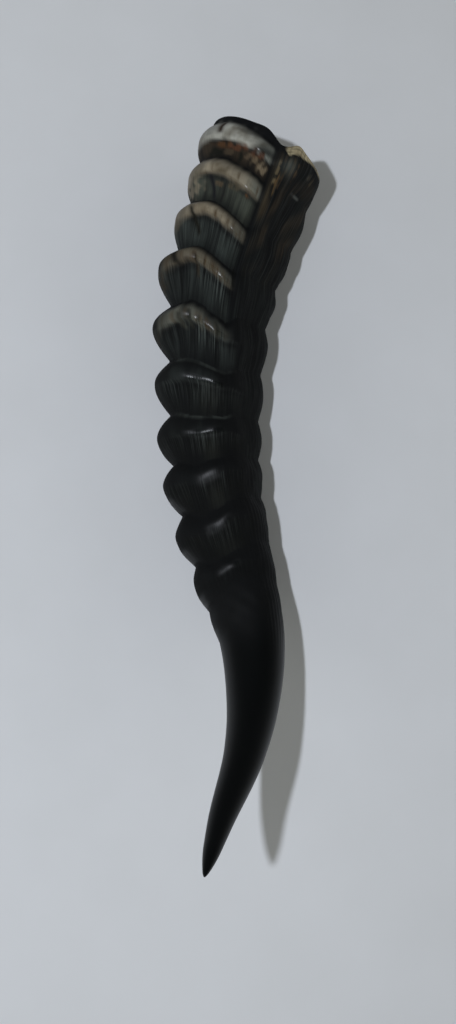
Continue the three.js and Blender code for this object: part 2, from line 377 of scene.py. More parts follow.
axisCurve = curveThrough(horn["axis"], 200)
axisSteps = np.linalg.norm(np.diff(axisCurve, axis=0), axis=1)
axisStations = np.concatenate([[0], np.cumsum(axisSteps)])
axisLength = axisStations[-1]
axisTangents = np.gradient(axisCurve, axisStations, axis=0)
print("axis length", round(axisLength, 1), "mm")


# Cubic through stops of station and value, with harmonic means of the neighbouring slopes, so that it can't
# overshoot.
def throughStops(stops, at):
    x, y = np.array(stops, float).T
    slopes = np.diff(y) / np.diff(x)
    before, after = np.append(slopes[0], slopes), np.append(slopes, slopes[-1])
    tangents = np.where(before * after > 0, 2 * before * after / (before + after), 0)
    i = np.clip(np.searchsorted(x, at) - 1, 0, len(slopes) - 1)
    span = x[i + 1] - x[i]
    t = np.clip((at - x[i]) / span, 0, 1)
    return ((2 * t**3 - 3 * t**2 + 1) * y[i] + (t**3 - 2 * t**2 + t) * span * tangents[i]
            + (3 * t**2 - 2 * t**3) * y[i + 1] + (t**3 - t**2) * span * tangents[i + 1])


crests = np.array([ring["at"] for ring in rings])
pitches = np.append(np.diff(crests)[:1], np.diff(crests))
crestAhead = np.append(crests, crests[-1] + pitches[-1])
pitchAhead = np.append(pitches, pitches[-1])
riseAhead = np.array([ring["innerRise"] for ring in rings + rings[-1:]])
shiftAhead = np.array([ring["innerShift"] for ring in rings + rings[-1:]])
lastValley = crests[-1] + (1 - horn["ringRise"]) * pitches[-1]


# How much nearer the tip a ring lies at an angle than at the front: a cosine towards the back, a sine towards
# the base on the outer side, and an eased sweep on the inner side that dies away at the back. All of it turns
# round along the horn, so the last rings sweep towards the base. The first rings' own shift is taken off it.
def ringLean(station, angle):
    turn = np.radians(angle)
    back = horn["backLean"] * (1 - np.cos(turn)) / 2
    outer = horn["outerLean"] * np.minimum(np.sin(turn), 0)
    sweep = smooth(angle, *horn["innerAngles"]) * (1 - smooth(angle, horn["innerAngles"][1], 180))
    share = mix(1, horn["leanLast"], smooth(station, *horn["leanTurn"]))
    shift = np.interp(station, crests, [ring["innerShift"] for ring in rings])
    lean = (back + outer + horn["innerLean"] * sweep) * share
    return lean - shift * between(angle, *horn["shiftAngles"])


# Which ring a place is on, its share of the way up from the valley to the crest, and of the way down past it.
# Each ring leans and wanders a little round the horn, and its rise is shorter on the inner side.
def ringPlace(station, angle):
    wander = horn["wander"] * ripples(3, station, angle, pitch=60, turns=5)
    local = station - ringLean(station, angle) - wander
    ahead = np.searchsorted(crests, local)
    behind = crests[np.maximum(ahead - 1, 0)]
    lead = np.where(angle < horn["leadEnd"], horn["shiftLead"] * shiftAhead[ahead], 0)
    riseShare = mix(horn["ringRise"], riseAhead[ahead], between(angle + lead, *horn["innerRiseAngles"]))
    riseLength = riseShare * pitchAhead[ahead]
    valley = crestAhead[ahead] - riseLength
    rising = (ahead == 0) | (local > valley) & (ahead < len(rings))
    i = np.clip(np.where(rising, ahead, ahead - 1), 0, len(rings) - 1)
    rise = np.where(rising, np.clip((local - valley) / riseLength, 0, 1), 1)
    fall = np.where(rising, 0, np.clip((local - behind) / np.maximum(valley - behind, 1e-6), 0, 1))
    return i, rise, fall


# A value of each ring, looked up for every place on the sheath.
def ofRing(name, i):
    return np.array([ring[name] for ring in rings])[i]


# Share of the radius left by the flat flank and the fuller heel: two bells round the section, eased in and
# out along the horn.
def flankLeft(station, angle):
    fade = between(station, *horn["flankStations"])
    flat = horn["flankShare"] * bell(degreesFrom(angle, horn["flankAngle"]), 0, horn["flankWidth"])
    heel = horn["heelShare"] * bell(degreesFrom(angle, horn["heelAngle"]), 0, horn["heelWidth"])
    return 1 + (heel - flat) * fade


# Radius without rings: the girth, an oval section with three faint corners, closing to a round tip.
def bareRadius(station, angle):
    turn = np.radians(angle)
    oval = mix(horn["ovalBase"], horn["ovalTip"], np.clip(station / axisLength, 0, 1))
    ovalTurn = turn - math.radians(horn["ovalTurn"])
    section = 1 / np.hypot(np.cos(ovalTurn) / oval, np.sin(ovalTurn) * oval)
    left = np.clip((axisLength - station) / horn["tipRounding"], 0, 1)
    corners = 1 + horn["cornerShare"] * np.cos(3 * (turn - math.radians(horn["cornerAngle"])))
    closing = np.sqrt(1 - (1 - left) ** 2)
    return throughStops(horn["girth"], station) * closing * section * corners * flankLeft(station, angle)


# How far a ring's crest stands out at an angle: all of its height at the front, less on the outer and inner
# sides, and little at the back.
def ringHeight(i, angle):
    height = ofRing("height", i)
    before, past = horn["furrowSides"]
    ahead = 1 - smooth(angle, horn["furrowAngle"] + before, horn["furrowAngle"] + past)
    ahead = ahead * smooth(angle, *horn["backAngles"])
    outer = height * mix(horn["outerStrength"], 1, smooth(angle, *horn["outerAngles"]))
    side = mix(outer, ofRing("innerHeight", i), smooth(angle, *horn["settleAngles"]))
    return mix(height * horn["backStrength"], side, ahead)


# Share of a ring's inner side. The first rings end at the furrow, the later ones run on towards the back.
def innerSide(i, angle, start, full, end, gone):
    later = smooth(i, *horn["laterRings"])
    endMore, goneMore = horn["laterReach"]
    return smooth(angle, start, full) * (1 - smooth(angle, end + endMore * later, gone + goneMore * later))


# Height of a ring: a sine up to the crest and down to the next valley. On the inner side a lip takes over: a
# narrow worn facet past the crest, a drop of part of the height, and the rest in a parabola that lifts a
# little at its end.
def ringRelief(station, angle):
    i, rise, fall = ringPlace(station, angle)
    rounded = np.where(fall > 0, np.sin(math.pi / 2 * (1 - fall)), np.sin(math.pi / 2 * rise))
    sharp = horn["sharpness"] * smooth(i, *horn["sharpRings"]) * between(angle, *horn["sharpAngles"])
    rounded = rounded ** (1 + sharp)
    drop, dip, low = horn["lipShare"], horn["dipAt"], horn["dipLow"]
    lipAt = ofRing("lipAt", i)
    facet = horn["facetTilt"] / np.maximum(ofRing("innerHeight", i), 1)
    past = np.clip((fall - lipAt) / (1 - lipAt), 0, 1)
    slope = (1 - drop - facet) * (low + (1 - low) * ((past - dip) / dip) ** 2)
    worn = facet * (1 - np.clip(fall / lipAt, 0, 1))
    lipped = slope + drop * (1 - smooth(past, 0, horn["lipFall"])) + worn
    start = (1 - drop - facet) * (low + (1 - low) * ((1 - dip) / dip) ** 2)
    lipped = np.where(fall > 0, lipped, mix(start, 1, np.sin(math.pi / 2 * rise) ** horn["lipRise"]))
    lip = ofRing("lip", i) * innerSide(i, angle, *horn["lipAngles"])
    height = ringHeight(i, angle) * (1 + horn["heightWander"] * ripples(5, station, angle, pitch=30, turns=6))
    return height * mix(rounded, lipped, lip)


# How deep a place lies in the cracks, 0 to 1, and the colour of the deepest: each is a bell across a straight
# line from its start to its end, which strays a little, with eased ends.
def crackDepth(station, angle):
    depth = np.zeros_like(station)
    colour = np.zeros(station.shape + (3,))
    for crack in cracks:
        (startStation, startAngle), (endStation, endAngle) = crack["start"], crack["end"]
        along = (station - startStation) / (endStation - startStation)
        stray = horn["crackWander"] * ripples(11, station, angle * 0, pitch=6, turns=0)
        middle = mix(startAngle, endAngle, along) + stray
        one = bell(degreesFrom(angle, middle), 0, crack["width"]) * between(along, *horn["crackEnds"])
        colour = np.where((one > depth)[..., None], linear(crack["colour"]), colour)
        depth = np.maximum(depth, one)
    return depth, colour


# Share of the flutes, which are fine lengthwise ripples: on the far slopes of the rings and along the back,
# weaker towards the tip, and none on the rolls or the tip.
def fluting(station, angle):
    fall = ringPlace(station, angle)[2]
    weaken = horn["fluteEndShare"] * smooth(fall, *horn["fluteEnd"])
    slopes = smooth(fall, *horn["fluteStart"]) * (1 - weaken)
    slopes = slopes * (1 - smooth(angle, *horn["fluteSlopes"]))
    back = smooth(angle, *horn["fluteInner"]) + 1 - smooth(angle, *horn["fluteOuter"])
    share = np.maximum(slopes, horn["fluteBackShare"] * back)
    share = share * mix(horn["fluteLeast"], 1, 1 - smooth(station, *horn["fluteWeaker"]))
    return share * (1 - smooth(station, *horn["fluteLast"]))


# Share of the folds: eased in and out round the horn and along it.
def folding(station, angle):
    return between(angle, *horn["foldAngles"]) * between(station, *horn["foldStations"])


# Radius of the finished outside: the bare sheath, plus rings and ripples, less the furrow with its crease and
# the cracks.
def outerRadius(station, angle):
    ring = ringRelief(station, angle)
    furrow = horn["furrowDepth"] * bell(angle, horn["furrowAngle"], horn["furrowWidth"])
    furrow = furrow * between(station, *horn["furrowStations"])
    crease = horn["creaseDepth"] * bell(angle, horn["creaseAngle"], horn["creaseWidth"])
    crease = crease * between(station, *horn["creaseStations"])
    sway = horn["fluteWander"] * ripples(7, station, angle, pitch=40, turns=4)
    wave = np.sin(horn["fluteCount"] * np.radians(angle) + sway)
    flutes = horn["fluteDepth"] * fluting(station, angle) + horn["foldDepth"] * folding(station, angle)
    uneven = horn["unevenDepth"] * ripples(9, station, angle, pitch=9, turns=12)
    uneven = uneven * (1 - smooth(station, *horn["unevenEnd"]))
    crack = horn["crackDepth"] * crackDepth(station, angle)[0]
    return bareRadius(station, angle) + ring - furrow - crease + flutes * wave + uneven - crack


# A point on the section at a station: out from the axis by the radius, between a level sideways direction,
# the front, and the direction square to it and the axis, the inner side.
def onSection(station, angle, radius):
    at = np.clip(station, horn["straightBase"], axisLength)
    centre = np.stack([np.interp(at, axisStations, axisCurve[:, k]) for k in range(3)], -1)
    along = np.stack([np.interp(at, axisStations, axisTangents[:, k]) for k in range(3)], -1)
    along /= np.linalg.norm(along, axis=-1)[..., None]
    front = np.cross(along, (0, 0, 1))
    front /= np.linalg.norm(front, axis=-1)[..., None]
    inner = np.cross(front, along)
    turn = np.radians(angle)
    point = centre + along * np.minimum(station - at, 0)[..., None]
    return point + front * (radius * np.cos(turn))[..., None] + inner * (radius * np.sin(turn))[..., None]


# Station where the sawn plane, with its notch, crosses a line along the sheath at this radius.
def cutStation(angle, radius):
    turn = np.radians(angle)
    lean, skew = math.tan(math.radians(horn["cutLean"])), math.tan(math.radians(horn["cutSkew"]))
    notch = horn["notchDepth"] * bell(angle, horn["notchAngle"], horn["notchWidth"])
    notch = notch - horn["flakeRise"] * bell(angle, horn["flakeAngle"], horn["flakeWidth"])
    return notch - (lean * np.sin(turn) + skew * np.cos(turn)) * radius


# Station a distance from the cut, which settles to the plain station past the cut's reach.
def fromCut(distance, angle):
    reach = (1 - np.clip(distance / horn["cutReach"], 0, 1)) ** 2
    return distance + cutStation(angle, bareRadius(np.zeros_like(angle), angle)) * reach


# The same on the outside, where the rows follow the lean of the rings between the cut and the last ring.
def alongRings(distance, angle):
    follow = smooth(distance, 0, horn["cutReach"]) * (1 - smooth(distance, crests[-1], axisLength))
    return fromCut(distance, angle) + ringLean(distance, angle) * follow


# Rows of the grid, from the end of the hollow out to the rim, over its rounded edge and on to the tip. Each
# part gives its stations, angles and radii.
columnAngles = np.linspace(-180, 180, horn["columns"], endpoint=False)
rimRadius = outerRadius(fromCut(np.zeros(horn["columns"]), columnAngles), columnAngles)


def hollowPart():
    depth, rounding = horn["hollowDepth"], horn["hollowEndRounding"]
    turn = np.linspace(0, math.pi / 2, horn["hollowEndRows"] + 1)[1:]
    roundEnd = depth - rounding * (1 - np.cos(turn))
    straight = np.linspace(depth - rounding, 0, horn["hollowRows"])[1:-1]
    distance, angle = np.meshgrid(np.concatenate([roundEnd, straight]), columnAngles, indexing="ij")
    left = np.clip((depth - distance) / rounding, 0, 1)
    cone = mix(1, horn["hollowEndShare"], distance / depth) * np.sqrt(1 - (1 - left) ** 2)
    grooves = 1 + horn["hollowGrooves"] * ripples(21, distance, angle, pitch=70, turns=14)
    inside = fromCut(distance, angle)
    return inside, angle, (rimRadius - horn["rimWall"]) * cone * grooves * flankLeft(inside, angle)


def rimPart():
    depth = np.linspace(horn["rimWall"], horn["rimRounding"], horn["rimRows"])
    depth, angle = np.meshgrid(depth, columnAngles, indexing="ij")
    radius = rimRadius - depth
    return cutStation(angle, radius), angle, radius


def edgePart():
    turn = np.linspace(0, math.pi / 2, horn["edgeRows"] + 2)[1:-1]
    turn, angle = np.meshgrid(turn, columnAngles, indexing="ij")
    innerRadius = rimRadius - horn["rimRounding"]
    innerStation = cutStation(columnAngles, innerRadius)
    outerStation = alongRings(np.full(horn["columns"], horn["rimRounding"]), columnAngles)
    outer = outerRadius(outerStation, columnAngles)
    return (mix(innerStation, outerStation, 1 - np.cos(turn)), angle, mix(innerRadius, outer, np.sin(turn)))


def outsidePart():
    ringed = np.linspace(horn["rimRounding"], lastValley, horn["ringRows"])
    tip = mix(lastValley, axisLength, np.sin(math.pi / 2 * np.arange(1, horn["tipRows"]) / horn["tipRows"]))
    distance, angle = np.meshgrid(np.concatenate([ringed, tip]), columnAngles, indexing="ij")
    station = alongRings(distance, angle)
    return station, angle, outerRadius(station, angle)


parts = [hollowPart(), rimPart(), edgePart(), outsidePart()]
rowKinds = np.concatenate([np.full(len(part[0]), kind) for kind, part in enumerate(parts)])
station, angle, radius = (np.concatenate([part[k] for part in parts]) for k in range(3))
points = onSection(station, angle, radius)
points[..., 2] = np.maximum(points[..., 2], 0)  # crests that reach the table are worn flat on it
hollowEnd = onSection(np.array(float(horn["hollowDepth"])), np.array(0.0), np.array(0.0))
print("sheath grid", points.shape[0], "rows by", points.shape[1], "columns")


tones = {name: linear(hexColour) for name, hexColour in sheathColours.items()}
slopeTones = np.array([linear(ring["slope"]) for ring in rings])
rollTones = np.array([linear(ring["roll"]) for ring in rings])


# Lays a colour over the others by its share at each place.
def cover(colour, share, value):
    colour[:] = mix(colour, value, np.clip(share, 0, 1)[..., None])


# Streaks along the horn: two sets of ripples, eased to a share of 0 to 1.
def streaked(name, station, angle):
    coarse, fine, weight, ease = marking[name]
    first, second = (ripples(seed, station, angle, pitch, turns) for seed, pitch, turns in (coarse, fine))
    return smooth(first + weight * second, *ease)


# A soft oval: a bell along the horn times a bell round it.
def oval(spot, station, angle):
    (middleStation, middleAngle), (length, width) = spot["at"], spot["size"]
    return bell(station, middleStation, length) * bell(degreesFrom(angle, middleAngle), 0, width)


# Colour of the sheath: black horn, with pale rolls on the rings, grey-green slopes, stains and a dark furrow.
# Each layer covers the last by its own share.
def sheathColour(station, angle):
    i, rise, fall = ringPlace(station, angle)
    colour = np.broadcast_to(tones["black"], station.shape + (3,)).copy()
    cloudy = 0.5 + 0.5 * ripples(13, station, angle, pitch=12, turns=9)
    bands = streaked("bands", station, angle)
    ringed = innerSide(i, angle, *marking["ringedAngles"])
    innerShare = smooth(angle, *marking["innerAngles"])

    # the banded back, brown near the base, and the far slopes with painted shade near each valley
    backShare = 1 - ringed
    backFade = 1 - marking["backFadeShare"] * smooth(station, *marking["backFade"])
    cover(colour, backShare * bands * backFade, tones["backFibre"])
    brownFade = 1 - smooth(station, *marking["brownFade"])
    cover(colour, backShare * bands * cloudy * brownFade, tones["backBrown"])
    # painted shade: the slope's colour gives way to black towards the next valley
    slopeShare = 1 - marking["valleyShadeShare"] * smooth(fall, *marking["valleyShadeFall"])
    slopeShare = smooth(fall, *marking["slopeStart"]) * slopeShare * mix(marking["plainSlope"], 1, bands)
    cover(colour, ringed * slopeShare, slopeTones[i])

    # the pale rolls, which are ragged at both edges and greyer at the furrow
    rollShare = mix(ofRing("paleFront", i), ofRing("paleInner", i), innerShare) * ringed
    rollShare = rollShare * (1 - marking["dimShare"] * smooth(angle, *marking["dimAngles"]) * (i > 1))
    rollShare = rollShare * (1 - smooth(angle, *marking["shortAngles"]) * (i > 3))
    late = marking["lateShare"] * smooth(angle, *marking["lateAngles"])
    rollFrom = ofRing("rollFrom", i) * innerShare + late
    lipEdge = mix(marking["frontLip"], ofRing("lipAt", i) + marking["pastLip"], innerShare)
    ragged = 0.5 + 0.5 * ripples(19, station, angle, pitch=4, turns=34)
    rollFull = rollFrom + mix(*marking["rollEase"], innerShare * (i > 0))
    roll = smooth(rise + marking["raggedRise"] * ragged, rollFrom, rollFull)
    rollGone = lipEdge + mix(*marking["rollLast"], innerShare)
    roll = roll * (1 - smooth(fall + marking["raggedFall"] * ragged, lipEdge, rollGone)) * rollShare
    broad = streaked("broad", station, angle)
    uneven = mix(marking["evenFirst"], 1, smooth(i, *marking["evenRings"])) * (i > 0)
    evenness = mix(mix(marking["cloudyLeast"], 1, cloudy), mix(marking["broadLeast"], 1, broad), uneven)
    cover(colour, roll * evenness, rollTones[i])
    ending = marking["endShare"] * smooth(angle, *marking["endAngles"]) * (i < 5)
    cover(colour, roll * ending, tones["rollEnd"])

    # painted highlights where two rings start, brown streaks and lines on the lips, painted shade under them
    # painted highlight: a thin pale line at the foot of the sixth and seventh rings
    startGlint = bell(rise, marking["startAt"], marking["startAt"]) * between(angle, *marking["startAngles"])
    startGlint = startGlint * between(i, *marking["startRings"])
    cover(colour, startGlint * mix(*marking["startShares"], broad), tones["startGlint"])
    streaks = streaked("thin", station, angle) * roll * smooth(rise, *marking["streakRise"])
    streaks = streaks * between(i, *marking["streakRings"])
    lipLine = bell(fall, lipEdge + marking["pastLip"], marking["lipLineWidth"]) * innerShare * ringed
    lipLine = lipLine * between(i, *marking["lipLineRings"]) * mix(*marking["lipLineShares"], bands)
    cover(colour, np.maximum(marking["streakShare"] * streaks, lipLine), tones["rollStreak"])
    shade = between(fall - lipEdge, *marking["shadeFall"])
    cover(colour, marking["shadeShare"] * shade * innerShare * ringed * ofRing("lip", i), tones["black"])

    # stains with broken edges, soft patches that are partly painted sheen, cracks and the furrow
    broken = 0.75 + 0.5 * ripples(15, station, angle, pitch=3.5, turns=40)
    for stain in stains:
        share = smooth(oval(stain, station, angle) * broken, *marking["stainEdge"])
        cover(colour, stain["strength"] * share, linear(stain["colour"]))
    # the grey and olive patches are painted sheen; the brown one is the horn's own colour
    for patch in stainAndSheenPatches:
        share = oval(patch, station, angle) * mix(marking["patchLeast"], 1, bands) * ((fall > 0) | (i < 5))
        cover(colour, patch["strength"] * share, linear(patch["colour"]))
    cover(colour, *crackDepth(station, angle))
    furrow = bell(angle, horn["creaseAngle"], marking["furrowWidth"])
    furrow = furrow * (1 - smooth(station, *marking["furrowFade"]))
    cover(colour, marking["furrowShare"] * furrow, tones["black"])
    return colour


# Colour near the rim: a black rounded edge that fades into the first roll, and the pale flake at the back
# with its fine crossing lines.
def rimColour(colour, station, angle, distance):
    ragged = distance * (1 + marking["edgeRagged"] * ripples(17, station, angle, pitch=8, turns=10))
    edgeReach = mix(*marking["edgeReach"], smooth(angle, *marking["edgeAngles"]))
    edgeFull, edgeGone = marking["edgeEase"]
    cover(colour, 1 - smooth(ragged, edgeFull * edgeReach, edgeGone * edgeReach), tones["rimEdge"])
    flakeReach = mix(*marking["flakeReach"], between(angle, *marking["flakeMiddle"]))
    flakeFull, flakeGone = marking["flakeEase"]
    flake = 1 - smooth(ragged, flakeReach + flakeFull, flakeReach + flakeGone)
    flake = flake * between(angle, *marking["flakeAngles"])
    cover(colour, flake, tones["rimFlake"])
    roundPitch, alongPitch = marking["flakeLines"]
    roundWidth, alongWidth = marking["flakeLineWidths"]
    lengthwise = bell((angle / roundPitch) % 1, 0.5, roundWidth)
    crosswise = bell((distance / alongPitch) % 1, 0.5, alongWidth)
    lines = np.maximum(lengthwise, crosswise)
    cover(colour, marking["flakeLineShare"] * flake * lines, tones["rimFlakeLines"])


distanceFromRim = station - cutStation(angle, radius)
colour = sheathColour(station, angle)
rimColour(colour, station, angle, distanceFromRim)
colour[rowKinds == 1] = mix(colour[rowKinds == 1], tones["sawnFace"], marking["sawnShare"])
colour = np.concatenate([colour, np.ones(colour.shape[:2] + (1,))], -1)

# How the finish lies, in the same way. Roughness is what is added to that of the polish.
sheen = {
    "plainRough": 0.76,
    "lipRough": 0.09,  # worn lips shine most
    "sawnRough": 0.1,
    "lipRise": (0.85, 1),
    "lipPast": (0.02, 0.1),
    "lipAngles": (42, 56, 98, 106),
    "lipSharp": (0.2, 0.8),
    "softRise": (0.6, 1),  # a soft sheen on the crests of rings 7 to 10
    "softFall": (0.12, 0.35),
    "softAngles": (52, 66, 90, 102),
    "softRings": (5.4, 6.2, 9.2, 9.8),
    "softShare": 0.48,
    "tipStations": (195, 240),
    "tipShare": 0.52,
    "lobeAngles": (-60, -20, 18, 45),  # and on the front lobes of the last rings
    "lobeFall": (0.3, 0.55, 0.9, 1),
    "lobeRings": (5.4, 7.4),
    "lobeShare": 0.45,
    "foldShare": 0.15,
    "rollPast": (0.04, 0.14),
    "rollAngles": (30, 50),
    "rollShare": 0.53,
    "paleGreen": 0.2,  # linear green of a place that counts as pale
    "fibreLeast": 0.35,
    "fibreFade": (190, 235),
    "fibreFadeShare": 0.9,
    "fibreRings": (0.5, 2.5),  # fibres hardly show on the first rings
    "fibreFirst": 0.35,
    "lipFibres": 0.75,
    "backAngles": (-150, -110, 104, 112),
    "litAngles": (50, 66, 94, 104),  # where painted glints fall on the fibres
    "litLeast": 0.3,
    "litReach": (8, 26, 96, 106),
    "litFall": (0.05, 0.15, 0.3, 0.85),
    "backLit": 0.16,
}

# What the material needs besides colour: red is how clearly the fibres show, green the added roughness, blue
# how pale the place is, and alpha how much pale colour the fibres take: painted glints under the lips, and
# lighter fibre lines on the back.
ringHere, riseHere, fallHere = ringPlace(station, angle)
pastLip = fallHere - ofRing("lipAt", ringHere)
lipShine = smooth(riseHere, *sheen["lipRise"]) * (1 - smooth(pastLip, *sheen["lipPast"]))
lipShine = lipShine * between(angle, *sheen["lipAngles"])
lipShine = lipShine * smooth(ofRing("lip", ringHere), *sheen["lipSharp"])
softSheen = smooth(riseHere, *sheen["softRise"]) * (1 - smooth(fallHere, *sheen["softFall"]))
softSheen = softSheen * between(angle, *sheen["softAngles"]) * between(ringHere, *sheen["softRings"])
fibreShare = mix(sheen["fibreLeast"], 1, fluting(station, angle))
fibreShare = fibreShare * (1 - sheen["fibreFadeShare"] * smooth(station, *sheen["fibreFade"]))
fibreShare = fibreShare * mix(sheen["fibreFirst"], 1, smooth(ringHere, *sheen["fibreRings"]))
fibreShare = np.maximum(fibreShare, sheen["lipFibres"] * lipShine * (ringHere > 2))
paleShare = np.clip(colour[..., 1] / sheen["paleGreen"], 0, 1)
backShare = 1 - innerSide(ringHere, angle, *sheen["backAngles"])
tipShare = smooth(station, *sheen["tipStations"])
# painted glints: lighter fibre lines under the lips where the lamp's highlight falls, and on the back
fibreGlintShare = mix(sheen["litLeast"], 1, between(angle, *sheen["litAngles"]))
fibreGlintShare = fibreGlintShare * innerSide(ringHere, angle, *sheen["litReach"])
fibreGlintShare = ofRing("lit", ringHere) * fibreGlintShare * between(fallHere, *sheen["litFall"])
fibreGlintShare = np.maximum(fibreGlintShare, sheen["backLit"] * backShare * (1 - tipShare))
lobeSheen = between(angle, *sheen["lobeAngles"]) * between(fallHere, *sheen["lobeFall"])
lobeSheen = lobeSheen * smooth(ringHere, *sheen["lobeRings"])
glossy = np.maximum(sheen["tipShare"] * tipShare, sheen["lobeShare"] * lobeSheen)
glossy = np.maximum(glossy, sheen["foldShare"] * folding(station, angle))
rollGloss = paleShare * (1 - smooth(pastLip, *sheen["rollPast"]) * smooth(angle, *sheen["rollAngles"]))
roughShare = sheen["plainRough"] - glossy - sheen["softShare"] * softSheen - sheen["rollShare"] * rollGloss
roughShare = mix(roughShare, sheen["lipRough"], lipShine) + sheen["sawnRough"] * (rowKinds == 1)[:, None]
finish = np.stack([fibreShare, roughShare, paleShare, fibreGlintShare], -1)
around = horn["growthRadius"] * np.stack([np.cos(np.radians(angle)), np.sin(np.radians(angle))], -1)
growth = np.concatenate([around, station[..., None]], -1) / 1000


# A closed skin over rows of points: quads between rows, and a fan of triangles to a point at each end.
def closedSkin(name, rows, firstPoint, lastPoint):
    rowCount, columnCount = rows.shape[:2]
    vertices = np.vstack([firstPoint, rows.reshape(-1, 3), lastPoint]) / 1000
    r, c = np.meshgrid(np.arange(rowCount - 1), np.arange(columnCount), indexing="ij")
    here, side = 1 + r * columnCount + c, 1 + r * columnCount + (c + 1) % columnCount
    quads = np.stack([here, here + columnCount, side + columnCount, side], -1).reshape(-1, 4)
    ring = np.arange(columnCount)
    following = (ring + 1) % columnCount
    lastRow = 1 + (rowCount - 1) * columnCount
    firstFan = np.stack([np.zeros_like(ring), 1 + ring, 1 + following], -1)
    lastFan = np.stack([np.full_like(ring, len(vertices) - 1), lastRow + following, lastRow + ring], -1)
    mesh = bpy.data.meshes.new(name)
    mesh.from_pydata(vertices.tolist(), [], firstFan.tolist() + quads.tolist() + lastFan.tolist())
    mesh.shade_smooth()
    mesh.update()
    piece = bpy.data.objects.new(name, mesh)
    bpy.context.scene.collection.objects.link(piece)
    return piece


# Writes one value per vertex into the mesh, with the two end points taking the value of the row beside them.
def giveAttribute(piece, name, kind, values):
    first, last = values[0].mean(0, keepdims=True), values[-1].mean(0, keepdims=True)
    flat = np.concatenate([first, values.reshape(-1, values.shape[-1]), last])
    layer = piece.data.attributes.new(name, kind, "POINT")
    layer.data.foreach_set("vector" if kind == "FLOAT_VECTOR" else "color", flat.astype(np.float32).ravel())


sheath = closedSkin("horn_sheath", points, hollowEnd, np.array(horn["axis"][-1]))
giveAttribute(sheath, "colour", "FLOAT_COLOR", colour)
giveAttribute(sheath, "finish", "FLOAT_COLOR", finish)
giveAttribute(sheath, "growth", "FLOAT_VECTOR", growth)
print("sheath built with", len(sheath.data.polygons), "faces")


# Adds one node: settings by name, and inputs that are either values or another node's outputs.
def addNode(tree, kind, inputs=None, **settings):
    node = tree.nodes.new("ShaderNode" + kind)
    for name, value in settings.items():
        setattr(node, name, value)
    for socket, value in (inputs or {}).items():
        if isinstance(value, bpy.types.NodeSocket):
            tree.links.new(value, node.inputs[socket])
        else:
            node.inputs[socket].default_value = value
    return node


def newMaterial(name):
    material = bpy.data.materials.new(name)
    material.use_nodes = True
    material.node_tree.nodes.clear()
    return material, material.node_tree


# One sRGB hex value as a socket takes it.
def rgba(hexColour):
    return (*linear(hexColour), 1)


# Mixes two colours by a share.
def mixColours(tree, share, first, second, blend="MIX"):
    inputs = {0: share, 6: first, 7: second}
    return addNode(tree, "Mix", inputs, data_type="RGBA", blend_type=blend).outputs[2]


# Two values multiplied or added.
def combine(tree, first, second, operation="MULTIPLY"):
    return addNode(tree, "Math", {0: first, 1: second}, operation=operation).outputs[0]


# Turns one range of values into another and holds it at both ends.
def remap(tree, value, low, high, start, end, ease="LINEAR"):
    inputs = {"Value": value, "From Min": low, "From Max": high, "To Min": start, "To Max": end}
    return addNode(tree, "MapRange", inputs, interpolation_type=ease).outputs[0]


# Noise of a width in mm, drawn out to a length along the growth of the horn.
def grain(tree, width, length, detail, roughness):
    growthIn = addNode(tree, "Attribute", attribute_name="growth")
    stretch = addNode(tree, "Mapping", {
        "Vector": growthIn.outputs["Vector"], "Scale": (1, 1, width / length)})
    return addNode(tree, "TexNoise", {
        "Vector": stretch.outputs["Vector"], "Scale": 1000 / width,
        "Detail": detail, "Roughness": roughness}).outputs["Fac"]


# Small relief, with its height in metres.
def relief(tree, height, distance):
    bump = addNode(tree, "Bump", {"Height": height, "Strength": 1.0, "Distance": distance})
    return bump.outputs["Normal"]


# Ends a material with its one surface.
def addSurface(tree, inputs):
    shader = addNode(tree, "BsdfPrincipled", inputs)
    addNode(tree, "OutputMaterial", {"Surface": shader.outputs[0]})


# Horn keratin, hand polished: a near-black, slightly glassy surface with bright small highlights. Its growth
# fibres show as fine lines along the far slopes, with painted glints on them under the lips and lighter lines
# on the back, and the worn rolls are pale and cloudy.
polish = {
    "fibreWidth": 0.6,  # mm, a little more than the real fibres, which are too fine to show
    "fibreLength": 20,  # mm
    "cloudSize": 7,  # mm
    "fibreBump": 0.00016,  # m
    "fibreGlintColour": "#5f6763",
    "cloudBrown": "#80735d",
    "roughness": 0.15,
}
keratin, tree = newMaterial("polished_horn_keratin")
tint = addNode(tree, "Attribute", attribute_name="colour").outputs["Color"]
finishIn = addNode(tree, "Attribute", attribute_name="finish")
shares = addNode(tree, "SeparateColor", {"Color": finishIn.outputs["Color"]})
fibreIn, roughIn, paleIn = shares.outputs
fibres = grain(tree, polish["fibreWidth"], polish["fibreLength"], detail=2.0, roughness=0.5)
darkened = mixColours(tree, fibreIn, tint, remap(tree, fibres, 0.3, 0.5, 0.35, 1.0), "MULTIPLY")
# painted glints: fibre lines lightened in the colour by the alpha share
glintLineShare = combine(tree, remap(tree, fibres, 0.5, 0.72, 0.0, 0.6), finishIn.outputs["Alpha"])
lined = mixColours(tree, glintLineShare, darkened, rgba(polish["fibreGlintColour"]))
clouds = grain(tree, polish["cloudSize"], polish["cloudSize"], detail=2.0, roughness=0.5)
cloudShare = combine(tree, remap(tree, clouds, 0.42, 0.7, 0.0, 0.7), paleIn)
clouded = mixColours(tree, cloudShare, lined, rgba(polish["cloudBrown"]), "MULTIPLY")
addSurface(tree, {
    "Base Color": clouded,
    "Roughness": combine(tree, roughIn, polish["roughness"], "ADD"),
    "Normal": relief(tree, combine(tree, fibres, fibreIn), polish["fibreBump"]),
    "IOR": 1.55,
    "Specular IOR Level": 0.19,
})

